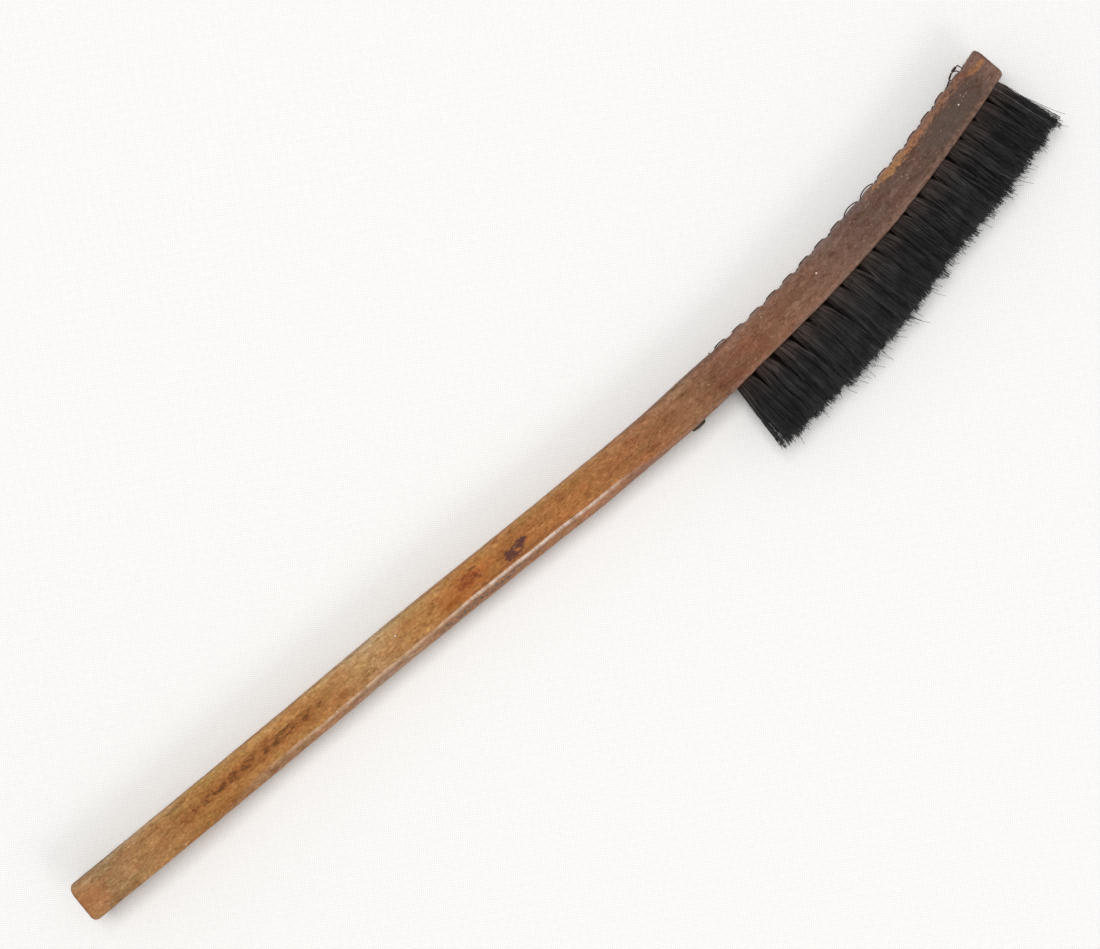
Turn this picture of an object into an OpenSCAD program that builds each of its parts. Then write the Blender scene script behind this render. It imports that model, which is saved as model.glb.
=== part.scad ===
// Hand brush with a one-piece curved wooden stock and two staggered rows of wire-drawn tufts.
// The brush lies on its side. +X runs along the straight handle towards the head, +Y is the
// back of the stock, the bristles point towards -Y, and +Z is up through the thickness.
// The origin is on the flat resting side, on the centreline, where the straight handle runs
// into the bent head.

/* [Stock] */
// Length of the straight handle, from the tail to the start of the bend
handle_length = 186; // [150:1:220]
// Radius of the bend, at the centreline of the stock
bend_radius = 469; // [469:1:560]
// Angle that the bent head turns through
bend_angle = 17.1; // [17.1:0.1:19]
// Height of the stock, from its back to its bristle side
stock_height = 11.5; // [11:0.1:13]
// Thickness of the stock, across the rows of tufts
stock_thickness = 12.7; // [12.4:0.1:15]
// Radius of the long edges on the back
back_round = 2.2; // [1:0.1:2.4]
// Radius of the long edges on the bristle side
face_round = 0.9; // [0.4:0.1:1.1]
// Radius of the corners at the tail and at the tip, seen from above
end_round = 1.3; // [0.5:0.1:2.5]
// How much the back is planed down at the tip
tip_taper = 2; // [0.5:0.1:2.2]
// Length of the planed stretch at the tip
tip_taper_length = 34; // [15:1:40]

/* [Grip chamfers] */
// Width of the stopped chamfers along the bristle side of the handle
chamfer_width = 2.5; // [1:0.1:3]
// Distance from the tail to the start of the chamfers
chamfer_start = 38; // [25:1:60]
// Length over which each chamfer runs out
chamfer_runout = 24; // [10:1:40]

/* [Tufts] */
// Number of tufts in the upper row; the lower row has one fewer
upper_tufts = 17; // [3:1:17]
// Distance from tuft to tuft, along the bristle side
tuft_pitch = 6.35; // [6.2:0.05:6.35]
// Distance from the start of the bend to the first tuft, along the bristle side
first_tuft = 34.8; // [32:0.1:36]
// Distance between the two rows
row_spacing = 5.2; // [5.1:0.1:5.6]
// Length of the bristles outside the wood
bristle_length = 18.8; // [12:0.1:30]
// Diameter of a tuft where it leaves the wood
tuft_d = 4.7; // [4:0.1:4.7]
// Diameter of a tuft at its trimmed end
tuft_tip_d = 6; // [5:0.1:6]
// Depth of the blind bores that hold the tufts
bore_depth = 7.2; // [6:0.1:8]

/* [Drawing wire] */
// Diameter of the wire
wire_d = 0.4; // [0.3:0.05:0.5]
// Diameter of the holes that take the wire through the back
wire_hole_d = 1.8; // [1.8:0.1:2.2]
// Height of the stitches above the back
stitch_height = 0.6; // [0.5:0.05:1]

/* [Anchor pin] */
// Distance from the first tuft back to the pin
pin_offset = 15.6; // [10:0.1:20]
// Diameter of the pin's shank
pin_d = 1.2; // [0.8:0.1:1.5]
// Diameter of the pin's head
pin_head_d = 2.2; // [1.8:0.1:3]
// Length of the pin's shank in the wood
pin_length = 7; // [4:0.5:8]

/* [Hidden] */
$fn = 48;
arc_fn = 720;
overcut = 1;
bore_gap = 0.05;

back_rho = bend_radius - stock_height / 2;
face_rho = bend_radius + stock_height / 2;
row_z = [stock_thickness / 2 - row_spacing / 2, stock_thickness / 2 + row_spacing / 2];
lower_row = 0;
upper_row = 1;
lower_tufts = upper_tufts - 1;

// The back is planed flat over its last stretch: a line from the round of the back down to the tip.
planed_angle = tip_taper_length / back_rho * 180 / PI;
tip_back_rho = back_rho + tip_taper;
plane_slope = (tip_back_rho - back_rho * cos(planed_angle)) / (back_rho * sin(planed_angle));

// Each bore is a sliding fit on its tuft, and the fold of the tuft sits just below the bore's end.
bore_r = tuft_d / 2 + bore_gap;
bore_end_rho = face_rho - bore_depth;
fold_rho = bore_end_rho + 2 * bore_gap;

// The wire makes a hairpin through each fold: two legs, joined by a half turn of radius leg_gap.
leg_gap = 0.6;
wire_r = wire_d / 2;
crook_rho = fold_rho + 1.6;
wire_sides = 6;
countersink_d = wire_hole_d + 1.2;
countersink_depth = 0.7;

// The two wire ends are twisted together on the back, above the last tufts.
twist_turns = 3;
twist_length = 3.9;
twist_r = wire_r + 0.05;
twist_height = twist_r + wire_r + 0.35;
twist_angle = tuft_angle(upper_row, upper_tufts - 1) - 0.1;
twist_rho = back_at(twist_angle) - twist_height;

function two_digits(n) = n < 10 ? str("0", n) : str(n);
function tuft_name(row, i) = str(row == upper_row ? "tuft_upper_" : "tuft_lower_", two_digits(i + 1));
function tuft_count(row) = row == upper_row ? upper_tufts : lower_tufts;

// ---- places on the bent head ----

// Angle round the bend that is a given length along the bristle side.
function face_angle(length) = length / face_rho * 180 / PI;

// Angle of a tuft; the lower row is set half a pitch on, so that its tufts show in the gaps.
function tuft_angle(row, i) =
    face_angle(first_tuft + tuft_pitch * (i + (row == upper_row ? 0 : 0.5)));

// A point at a given angle round the bend: u is along the stock, rho the distance from the bend's centre.
function head_point(angle, u, rho, z) = [
    rho * sin(angle) + u * cos(angle),
    bend_radius - rho * cos(angle) + u * sin(angle),
    z
];

// Distance from the bend's centre to the back of the stock, which the planed stretch brings closer.
function back_at(angle) =
    let (to_tip = bend_angle - angle)
    to_tip > planed_angle ? back_rho : tip_back_rho / (cos(to_tip) + plane_slope * sin(to_tip));

// Local frame at an angle round the bend: x points out through the bristle side, y towards the tip.
module at_head(angle) {
    translate([0, bend_radius, 0]) rotate([0, 0, angle - 90]) children();
}

// ---- stock ----

// Cross-section of the stock: x is the offset from the centreline towards the bristles, y the thickness.
module section() {
    top = stock_thickness;
    back = -stock_height / 2;
    face = stock_height / 2;
    translate([back + back_round, 0]) square([stock_height - back_round - face_round, top]);
    translate([back, back_round]) square([stock_height / 2, top - 2 * back_round]);
    translate([0, face_round]) square([face, top - 2 * face_round]);
    for (z = [back_round, top - back_round]) translate([back + back_round, z]) circle(back_round);
    for (z = [face_round, top - face_round]) translate([face - face_round, z]) circle(face_round);
}

module handle_bar() {
    translate([-handle_length, 0, 0])
        rotate([90, 0, 90]) linear_extrude(handle_length) mirror([1, 0]) section();
}

module head_arc() {
    translate([0, bend_radius, 0]) rotate([0, 0, -90])
        rotate_extrude(angle = bend_angle, $fn = arc_fn) translate([bend_radius, 0]) section();
}

// What is cut away to round a corner whose edges run along +x and +y from the origin.
module corner_waste(r) {
    translate([0, 0, -overcut]) linear_extrude(stock_thickness + 2 * overcut) difference() {
        translate([-overcut, -overcut]) square(r + overcut);
        translate([r, r]) circle(r);
    }
}

module tail_corners() {
    translate([-handle_length, -stock_height / 2, 0]) corner_waste(end_round);
    translate([-handle_length, stock_height / 2, 0]) mirror([0, 1, 0]) corner_waste(end_round);
}

module tip_corners() {
    at_head(bend_angle) {
        translate([tip_back_rho, 0, 0]) mirror([0, 1, 0]) corner_waste(end_round);
        translate([face_rho, 0, 0]) mirror([1, 0, 0]) mirror([0, 1, 0]) corner_waste(end_round);
    }
}

// What is planed off the back, so that the head narrows to the tip.
module tip_plane() {
    far = [back_rho * cos(planed_angle), -back_rho * sin(planed_angle)];
    beyond = [tip_back_rho + plane_slope * overcut, overcut];
    outside = back_rho - tip_taper - overcut;
    at_head(bend_angle) translate([0, 0, -overcut]) linear_extrude(stock_thickness + 2 * overcut)
        polygon([far, beyond, [outside, beyond[1]], [outside, far[1]]]);
}

// One stopped chamfer on the edge along x; turn sets the way that it faces round that edge.
// Its depth runs in from nothing, stays level, and runs out again at the bend.
module grip_chamfer(turn) {
    depth = chamfer_width / sqrt(2);
    start = chamfer_start - handle_length;
    outside = overcut + depth;
    profile = [
        [start, 0], [start + chamfer_runout, -depth], [-chamfer_runout, -depth], [0, 0],
        [0, outside], [start, outside]
    ];
    rotate([turn, 0, 0]) linear_extrude(2 * stock_height, center = true) polygon(profile);
}

module grip_chamfers() {
    translate([0, -stock_height / 2, stock_thickness]) grip_chamfer(135);
    translate([0, -stock_height / 2, 0]) grip_chamfer(225);
}

module tuft_bore(row, i) {
    back = back_at(tuft_angle(row, i));
    at_head(tuft_angle(row, i)) translate([0, 0, row_z[row]]) rotate([0, 90, 0]) {
        translate([0, 0, bore_end_rho]) cylinder(h = bore_depth + overcut, r = bore_r);
        translate([0, 0, back - overcut])
            cylinder(h = bore_end_rho - back + 2 * overcut, d = wire_hole_d);
        translate([0, 0, back]) cylinder(h = countersink_depth, d1 = countersink_d, d2 = wire_hole_d);
        translate([0, 0, back - overcut]) cylinder(h = overcut, d = countersink_d);
    }
}

module stock() {
    color("#9c6a3e") difference() {
        union() {
            handle_bar();
            head_arc();
        }
        tail_corners();
        tip_corners();
        tip_plane();
        grip_chamfers();
        for (row = [lower_row, upper_row], i = [0:tuft_count(row) - 1]) tuft_bore(row, i);
        at_pin() cylinder(h = pin_length + overcut, d = pin_d + 2 * bore_gap);
    }
}

// ---- tufts ----

// Half outline of a tuft: the domed fold at the bore's end, the shank in the bore, the flared bristles.
function tuft_profile() = concat(
    [for (a = [0:15:90]) [tuft_d / 2 * sin(a), fold_rho + tuft_d / 2 * (1 - cos(a))]],
    [[tuft_d / 2, face_rho], [tuft_tip_d / 2, face_rho + bristle_length], [0, face_rho + bristle_length]]
);

// The way of the wire through the fold, as a hairpin-shaped hole.
module hairpin_hole(r) {
    translate([crook_rho, 0, 0]) {
        rotate([0, 0, -90]) rotate_extrude(angle = 180) translate([leg_gap, 0]) circle(r);
        for (side = [-1, 1])
            translate([0, side * leg_gap, 0]) rotate([0, -90, 0]) cylinder(h = crook_rho - back_rho, r = r);
    }
}

module tuft(row, i) {
    color("#262324") at_head(tuft_angle(row, i)) translate([0, 0, row_z[row]]) difference() {
        rotate([0, 90, 0]) rotate_extrude() polygon(tuft_profile());
        hairpin_hole(wire_r + bore_gap);
    }
}

// ---- drawing wires ----

function unit(v) = v / norm(v);

function bezier(a, b, c, d, steps) = [
    for (k = [0:steps]) let (t = k / steps, s = 1 - t)
        s * s * s * a + 3 * s * s * t * b + 3 * s * t * t * c + t * t * t * d
];

// Half turn of the wire round the fold of a tuft.
function crook(row, i) = [
    for (a = [180:-36:0])
        head_point(tuft_angle(row, i), leg_gap * cos(a), crook_rho + leg_gap * sin(a), row_z[row])
];

// Stitch over the back from tuft i to the next: half an ellipse from leg to leg.
function stitch(row, i) =
    let (
        middle = (tuft_angle(row, i) + tuft_angle(row, i + 1)) / 2,
        back = back_at(middle),
        half = back * sin(middle - tuft_angle(row, i)) - leg_gap
    )
    [for (a = [180:-30:0]) head_point(middle, half * cos(a), back - stitch_height * sin(a), row_z[row])];

// One wire's share of the twist: a helix that runs back from the last tuft, half a turn from the other.
function twist(row) =
    let (steps = 10 * twist_turns)
    [
        for (k = [0:steps])
            let (phase = 360 * twist_turns * k / steps + (row == upper_row ? 90 : -90))
            head_point(twist_angle, -twist_length * k / steps, twist_rho - twist_r * cos(phase),
                stock_thickness / 2 + twist_r * sin(phase))
    ];

// The wire rises out of the last hole and swings over to the start of the twist.
function swing_over(row) =
    let (
        last = tuft_angle(row, tuft_count(row) - 1),
        side = row == upper_row ? 1 : -1,
        middle = stock_thickness / 2
    )
    bezier(
        head_point(last, leg_gap, back_at(last), row_z[row]),
        head_point(last, leg_gap, back_at(last) - 2 * twist_height, row_z[row]),
        head_point(twist_angle, 1.6, twist_rho, middle + side * 1.2),
        head_point(twist_angle, 0.35, twist_rho, middle + side * (twist_r + 0.1)),
        8
    );

function wire_path(row) =
    let (last = tuft_count(row) - 1, start = tuft_angle(row, 0))
    concat(
        [head_point(start, -leg_gap, back_at(start) - stitch_height, row_z[row])],
        [for (i = [0:last]) each concat(crook(row, i), i < last ? stitch(row, i) : [])],
        swing_over(row),
        twist(row)
    );

// Round wire along a path that nowhere runs straight up or down.
module tube(path) {
    last = len(path) - 1;
    rings = [
        for (k = [0:last])
            let (
                along = unit(path[min(k + 1, last)] - path[max(k - 1, 0)]),
                across = unit(cross([0, 0, 1], along)),
                upward = cross(along, across)
            )
            for (s = [0:wire_sides - 1])
                path[k] + wire_r * (cos(360 * s / wire_sides) * across + sin(360 * s / wire_sides) * upward)
    ];
    walls = [
        for (k = [0:last - 1], s = [0:wire_sides - 1])
            let (
                a = k * wire_sides + s,
                b = k * wire_sides + (s + 1) % wire_sides
            )
            each [[a, a + wire_sides, b], [b, a + wire_sides, b + wire_sides]]
    ];
    start_cap = [for (s = [0:wire_sides - 1]) s];
    end_cap = [for (s = [wire_sides - 1:-1:0]) last * wire_sides + s];
    polyhedron(points = rings, faces = concat([start_cap], walls, [end_cap]));
}

module drawing_wire_upper() {
    color("#3a3634") tube(wire_path(upper_row));
}

module drawing_wire_lower() {
    color("#3a3634") tube(wire_path(lower_row));
}

// ---- anchor pin ----

// Local frame at the pin: the origin is at its point in the wood, and z runs out through its head.
module at_pin() {
    at_head(face_angle(first_tuft - pin_offset))
        translate([face_rho - pin_length, 0, stock_thickness / 2]) rotate([0, 90, 0]) children();
}

module anchor_pin() {
    head_rise = 0.5 * pin_head_d;
    dome = [for (a = [0:15:90]) [pin_head_d / 2 * cos(a), pin_length + bore_gap + head_rise * sin(a)]];
    shank = [[0, bore_gap], [pin_d / 2, 3 * bore_gap], [pin_d / 2, pin_length + bore_gap]];
    color("#2e2a29") at_pin() rotate_extrude() polygon(concat(shank, dome));
}

stock();
drawing_wire_upper();
drawing_wire_lower();
anchor_pin();
for (i = [0:upper_tufts - 1])
    tuft(upper_row, i);
for (i = [0:lower_tufts - 1])
    tuft(lower_row, i);
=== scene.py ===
import math

import bmesh
import bpy
import numpy as np
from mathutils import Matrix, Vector, noise


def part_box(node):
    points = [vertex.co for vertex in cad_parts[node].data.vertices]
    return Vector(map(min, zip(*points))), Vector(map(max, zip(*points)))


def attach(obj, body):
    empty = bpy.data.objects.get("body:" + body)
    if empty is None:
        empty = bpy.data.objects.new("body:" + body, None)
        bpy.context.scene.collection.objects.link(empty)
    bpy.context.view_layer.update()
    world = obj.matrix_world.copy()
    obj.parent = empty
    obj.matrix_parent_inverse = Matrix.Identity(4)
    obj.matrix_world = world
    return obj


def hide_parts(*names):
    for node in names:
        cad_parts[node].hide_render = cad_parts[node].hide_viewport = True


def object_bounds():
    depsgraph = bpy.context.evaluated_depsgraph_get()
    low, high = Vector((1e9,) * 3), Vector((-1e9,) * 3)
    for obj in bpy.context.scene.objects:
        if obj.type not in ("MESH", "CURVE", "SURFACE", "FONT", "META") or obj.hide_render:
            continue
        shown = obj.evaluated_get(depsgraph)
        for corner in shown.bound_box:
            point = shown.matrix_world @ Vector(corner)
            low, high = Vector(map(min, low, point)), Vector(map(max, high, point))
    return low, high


# A hand brush with a one-piece curved wooden stock and two rows of hair tufts, drawn in by wire.
# It lies on its side. Along the stock, s is the length along the centreline from the start of the
# bend, w is the offset from the centreline towards the bristles, and z is the height.

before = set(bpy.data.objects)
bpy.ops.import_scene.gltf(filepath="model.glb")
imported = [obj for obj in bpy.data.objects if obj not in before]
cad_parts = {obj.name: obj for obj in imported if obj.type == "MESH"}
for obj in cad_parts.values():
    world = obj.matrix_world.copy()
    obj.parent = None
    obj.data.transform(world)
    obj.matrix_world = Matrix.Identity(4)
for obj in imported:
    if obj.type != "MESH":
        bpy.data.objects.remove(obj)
CAD_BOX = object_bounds()
MM = 0.001

# ---- sizes, in metres ----
STOCK_LOW, STOCK_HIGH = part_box("stock")
THICKNESS = STOCK_HIGH.z
MIDDLE_Z = THICKNESS / 2
TAIL_S = STOCK_LOW.x
BEND_RADIUS = 469 * MM
BEND_ANGLE = math.radians(17.1)
TIP_S = BEND_RADIUS * BEND_ANGLE
HALF_HEIGHT = 5.75 * MM
BACK_RHO = BEND_RADIUS - HALF_HEIGHT
FACE_RHO = BEND_RADIUS + HALF_HEIGHT
BACK_ROUND = 2.2 * MM
FACE_ROUND = 0.9 * MM
END_ROUND = 1.5 * MM
END_EASE = 0.5 * MM
TIP_ROUND = 0.8 * MM
TIP_TAPER = 1.7 * MM
TAPER_LENGTH = 34 * MM
CHAMFER_WIDTH = 2.5 * MM
CHAMFER_FROM = -147 * MM
CHAMFER_TO = 13 * MM
CHAMFER_RISE = 17 * MM
CHAMFER_FALL = 19 * MM

UPPER, LOWER = "upper", "lower"
ROW_COUNT = {UPPER: 17, LOWER: 16}
ROW_Z = {UPPER: MIDDLE_Z + 2.6 * MM, LOWER: MIDDLE_Z - 2.6 * MM}
ROW_SHIFT = {UPPER: 0.0, LOWER: 0.5}
PITCH = 6.35 * MM
FIRST_TUFT = 34.8 * MM
BRISTLE_LENGTH = 18.8 * MM
BORE_RADIUS = 2.4 * MM
BORE_DEPTH = 7.2 * MM
BORE_BOTTOM = FACE_RHO - BORE_DEPTH
ROOT_RADIUS = 2.3 * MM
SPREAD = 1.68
HAIRS_PER_TUFT = 460
LOCKS_PER_TUFT = 28
HAIR_RADIUS = 0.085 * MM

WIRE_RADIUS = 0.17 * MM
WIRE_HOLE_RADIUS = 0.9 * MM
COUNTERSINK_RADIUS = 1.45 * MM
LEG_GAP = 0.6 * MM
FOLD_LIFT = 1.7 * MM
PIN_OFFSET = 15.6 * MM
PIN_HOLE_RADIUS = 0.66 * MM
PIN_HOLE_DEPTH = 7 * MM

# ---- places along the bent stock ----


def place(s, w, z):
    """Points of the frame from the length along, the offset towards the bristles and the height."""
    s, w, z = np.broadcast_arrays(np.asarray(s, float), w, z)
    turn = np.maximum(s, 0) / BEND_RADIUS
    x = np.minimum(s, 0) + (BEND_RADIUS + w) * np.sin(turn)
    y = BEND_RADIUS - (BEND_RADIUS + w) * np.cos(turn)
    return np.stack([x, y, z], axis=-1)


def unplace(points):
    """The way back from points of the frame to s, w and z."""
    x, y, z = points.T
    turn = np.arctan2(np.maximum(x, 0), BEND_RADIUS - y)
    rho = np.hypot(np.maximum(x, 0), BEND_RADIUS - y)
    return np.stack([turn * BEND_RADIUS + np.minimum(x, 0), rho - BEND_RADIUS, z], axis=-1)


def tuft_s(row, i):
    """Place of tuft i along the centreline."""
    return (FIRST_TUFT + PITCH * (i + ROW_SHIFT[row])) * BEND_RADIUS / FACE_RHO


def all_tufts():
    return [(row, i) for row in (UPPER, LOWER) for i in range(ROW_COUNT[row])]


def back_w(s):
    """Offset of the back, planed closer before the tip and rubbed down a little along the head."""
    to_tip = np.maximum(BEND_ANGLE - np.asarray(s) / BEND_RADIUS, 0)
    planed = TAPER_LENGTH / BACK_RHO
    tip_rho = BACK_RHO + TIP_TAPER
    slope = (tip_rho - BACK_RHO * math.cos(planed)) / (BACK_RHO * math.sin(planed))
    rho = np.where(to_tip > planed, BACK_RHO, tip_rho / (np.cos(to_tip) + slope * np.sin(to_tip)))
    worn = 0.38 * bump(s, 96 * MM, 36 * MM) + 0.8 * bump(s, 108 * MM, 16 * MM)
    proud = 0.1 + 0.43 * bump(s, 26 * MM, 16 * MM)
    return rho - BEND_RADIUS + (worn - proud) * MM


def face_w(s):
    """Offset of the bristle side, which isn't quite even."""
    uneven = 0.42 * bump(s, 96 * MM, 24 * MM) - 0.4 * bump(s, 45 * MM, 16 * MM)
    return HALF_HEIGHT + MM * (uneven + 0.3 * bump(s, -14 * MM, 9 * MM))


def sway(s):
    """Offset of the grip's middle line, which bows a little towards its back."""
    return -0.45 * MM * bump(s, -78 * MM, 34 * MM)


def bump(x, centre, width):
    """A smooth hump of height 1."""
    return np.exp(-(((np.asarray(x) - centre) / width) ** 2))


def smooth(x, low, high):
    """0 up to low and 1 from high on, with a soft change between. low may be the larger."""
    t = np.clip((x - low) / (high - low), 0, 1)
    return t * t * (3 - 2 * t)


def lumps(points, size, seed):
    """Smooth noise between about -1 and 1 with lumps of the given size."""
    shift = Vector((seed * 17.3, seed * 5.1, seed * 9.7))
    return np.array([noise.noise(Vector(p) / size + shift) for p in points])


# ---- meshes ----


def new_object(name, verts, faces, material):
    mesh = bpy.data.meshes.new(name)
    mesh.from_pydata(np.asarray(verts).tolist(), [], faces)
    mesh.update()
    mesh.materials.append(material)
    obj = bpy.data.objects.new(name, mesh)
    bpy.context.scene.collection.objects.link(obj)
    return obj


def shade_smooth(obj, sharp_angle=None):
    obj.data.polygons.foreach_set("use_smooth", np.ones(len(obj.data.polygons), bool))
    if sharp_angle is not None:
        obj.data.set_sharp_from_angle(angle=math.radians(sharp_angle))


def set_attribute(obj, name, values):
    """Puts one number, or one vector, on each vertex for the material to read."""
    values = np.asarray(values, np.float32)
    kind = "FLOAT" if values.ndim == 1 else "FLOAT_VECTOR"
    field = "value" if values.ndim == 1 else "vector"
    attribute = obj.data.attributes.new(name, kind, "POINT")
    attribute.data.foreach_set(field, values.ravel())


def get_coordinates(obj):
    co = np.empty(len(obj.data.vertices) * 3, np.float32)
    obj.data.vertices.foreach_get("co", co)
    return co.reshape(-1, 3).astype(float)


def adopt(obj, slot, *nodes):
    """Makes obj part of the brush, standing for the CAD nodes that it replaces."""
    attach(obj, "root")
    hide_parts(*nodes)


def ring_quads(rings, sides):
    """Quads between neighbouring rings, and round each ring."""
    a = np.arange(rings - 1)[:, None] * sides + np.arange(sides)
    b = np.arange(rings - 1)[:, None] * sides + (np.arange(sides) + 1) % sides
    return np.stack([a, b, b + sides, a + sides], axis=-1).reshape(-1, 4)


# ---- stock ----


def rounded(a, b, radius):
    """Distance outside two crossing faces whose shared edge is rounded."""
    inside = np.minimum(np.maximum(a, b), -radius)
    return inside + np.hypot(np.maximum(a + radius, 0), np.maximum(b + radius, 0))


def softer(a, b, width):
    """The larger of two distances, with the crease between them eased."""
    overlap = np.maximum(width - np.abs(a - b), 0) / width
    return np.maximum(a, b) + overlap * overlap * width / 4


def end_inset(s, tail_radius, tip_radius):
    """How far a side draws in near the two ends."""
    radius = np.where(s < 0, tail_radius, tip_radius)
    to_end = np.clip(np.minimum(s - TAIL_S, TIP_S - s), 0, radius)
    return radius - np.sqrt(radius**2 - (radius - to_end) ** 2)


def wire_notches(s, z):
    """How deep the pulled wire has worn the back, round each of its holes."""
    depth = 0.0
    for row, i in all_tufts():
        strength, reach = (0.72, 9 * MM) if row == UPPER else (0.25, 2.2 * MM)
        strength *= (1 + 0.3 * math.sin(2.7 * i + 1.3)) * smooth(i, -1.8, 4)
        groove = np.exp(-np.abs(s - tuft_s(row, i)) / (1.05 * MM))
        depth = np.maximum(depth, strength * groove * bump(z, ROW_Z[row], reach))
    return depth * MM


def back_surface(s, z):
    """Offset of the worn back, with its grooves and its slight slant in towards the resting side."""
    slant = 0.09 * np.maximum(ROW_Z[UPPER] - z, 0) * smooth(s, 24 * MM, 36 * MM)
    return back_w(s) + wire_notches(s, z) + slant


def chamfer_depth(s):
    """How far each grip chamfer cuts in, measured square to its face."""
    into = np.clip((s - CHAMFER_FROM) / CHAMFER_RISE, 0, 1)
    out = np.clip((CHAMFER_TO - s) / CHAMFER_FALL, 0, 1)
    ripple = 0.07 * np.sin(s / (5.2 * MM)) + 0.05 * np.sin(s / (2.3 * MM) + 1)
    uneven = 0.3 * bump(s, -47 * MM, 15 * MM) - 0.3 * bump(s, -100 * MM, 24 * MM)
    return (CHAMFER_WIDTH + MM * (uneven + ripple)) / math.sqrt(2) * np.minimum(into, out)


def crease_w(s):
    """Offset of the crease where each side face meets its grip chamfer."""
    return face_w(s) + sway(s) - math.sqrt(2) * chamfer_depth(s)


def stock_faces(s, w, z):
    """Distances outside the stock without its grip chamfers, and outside the chamfers, at a point."""
    back = sway(s) - w + back_surface(s, z) + end_inset(s, END_ROUND, TIP_ROUND)
    face = w - sway(s) - face_w(s) + end_inset(s, END_ROUND, END_ROUND)
    top = np.abs(z - MIDDLE_Z) - MIDDLE_Z + end_inset(s, END_EASE, END_EASE)
    shape = np.maximum(rounded(back, top, BACK_ROUND), rounded(face, top, FACE_ROUND))
    chamfer = (face + top) / math.sqrt(2) + chamfer_depth(s)
    return shape, np.where(chamfer_depth(s) > 0, chamfer, -HALF_HEIGHT)


def outside_stock(s, w, z):
    """Distance outside the stock's surface at a point, negative inside."""
    shape, chamfer = stock_faces(s, w, z)
    return softer(shape, chamfer, 0.7 * MM)


def section_rays(points_per_side):
    """Directions round the section: points on a box, closer together near its corners."""
    u = np.arange(points_per_side) / points_per_side
    t = 0.45 * -np.cos(math.pi * u) + 0.55 * (2 * u - 1)
    one = np.ones_like(t)
    corners = [(one, t), (-t, one), (-one, -t), (t, -one)]
    sides = [np.stack([a * HALF_HEIGHT, b * MIDDLE_Z], axis=-1) for a, b in corners]
    return np.concatenate(sides)


def ring_stations(spacing):
    """Places of the rings: close together where the two ends are rounded."""
    ends = END_ROUND * (1 - np.cos(np.linspace(0, math.pi / 2, 7)))[:-1]
    start, stop = TAIL_S + END_ROUND, TIP_S - END_ROUND
    middle = np.linspace(start, stop, round((stop - start) / spacing))
    return np.concatenate([TAIL_S + ends, middle, (TIP_S - ends)[::-1]])


def solve_section(s, rays):
    """How far along each ray the surface lies, found by halving."""
    low = np.full((len(s), len(rays)), 0.3)
    high = np.full_like(low, 1.25)
    for _ in range(22):
        trial = (low + high) / 2
        w = trial * rays[:, 0]
        z = MIDDLE_Z + trial * rays[:, 1]
        out = outside_stock(s[:, None], w, z) > 0
        high = np.where(out, trial, high)
        low = np.where(out, low, trial)
    return (low + high) / 2


def edge_sharpness(w, z):
    """How strongly each ring bends at each of its points, in radians per millimetre."""
    step = np.stack([np.roll(w, -1, 1) - w, np.roll(z, -1, 1) - z], axis=-1)
    length = np.linalg.norm(step, axis=-1)
    heading = np.arctan2(step[..., 1], step[..., 0])
    turn = (heading - np.roll(heading, 1, 1) + math.pi) % (2 * math.pi) - math.pi
    return np.abs(turn) / (length + np.roll(length, 1, 1)) * 2 * MM


def cap(verts, faces, ring, centre, flip):
    """Closes an end with rings that shrink to its centre, slightly uneven like sawn end grain."""
    sides = len(ring)
    previous = ring
    for scale in (0.85, 0.65, 0.4):
        start = len(verts)
        for k in ring:
            p = Vector(verts[k]).lerp(centre, 1 - scale)
            p.x += 0.05 * MM * noise.noise(p / (1.1 * MM))
            verts.append(p)
        current = list(range(start, start + sides))
        for k in range(sides):
            quad = [previous[k], previous[(k + 1) % sides], current[(k + 1) % sides], current[k]]
            faces.append(quad[::-1] if flip else quad)
        previous = current
    verts.append(centre)
    middle = len(verts) - 1
    for k in range(sides):
        fan = [previous[k], previous[(k + 1) % sides], middle]
        faces.append(fan[::-1] if flip else fan)


def stock_shell():
    """The outside of the stock as rings of points, with hand-shaped unevenness."""
    s = ring_stations(0.5 * MM)
    rays = section_rays(28)
    reach = solve_section(s, rays)
    w = reach * rays[:, 0]
    z = MIDDLE_Z + reach * rays[:, 1]
    sharp = edge_sharpness(w, z)
    shape, chamfer = stock_faces(s[:, None], w, z)
    facet = smooth(chamfer - shape, -0.1 * MM, 0.15 * MM)
    points = place(s[:, None], w, z).reshape(-1, 3)
    rough = 0.10 * lumps(points, 9 * MM, 1) + 0.05 * lumps(points, 2.6 * MM, 2)
    at_tip = np.repeat(smooth(s, TIP_S - 12 * MM, TIP_S - 2 * MM), len(rays))
    rough += 0.3 * at_tip * lumps(points, 4.4 * MM, 8)
    rough = rough * MM / np.linalg.norm(rays, axis=-1).mean()
    edge = smooth(sharp, 0.3, 1.1)
    nicks = 0.10 * MM * edge.ravel() * lumps(points, 1.7 * MM, 3) / HALF_HEIGHT
    reach = reach + (rough + nicks).reshape(reach.shape)
    z = np.clip(MIDDLE_Z + reach * rays[:, 1], 0, THICKNESS)
    w = reach * rays[:, 0]
    slant = 0.13 * (2.5 * MM - w) * smooth(s, TIP_S - 9 * MM, TIP_S)[:, None]
    points = place(s[:, None] + slant, w, z).reshape(-1, 3)
    return points, edge.ravel(), facet.ravel(), len(s), len(rays)


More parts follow.
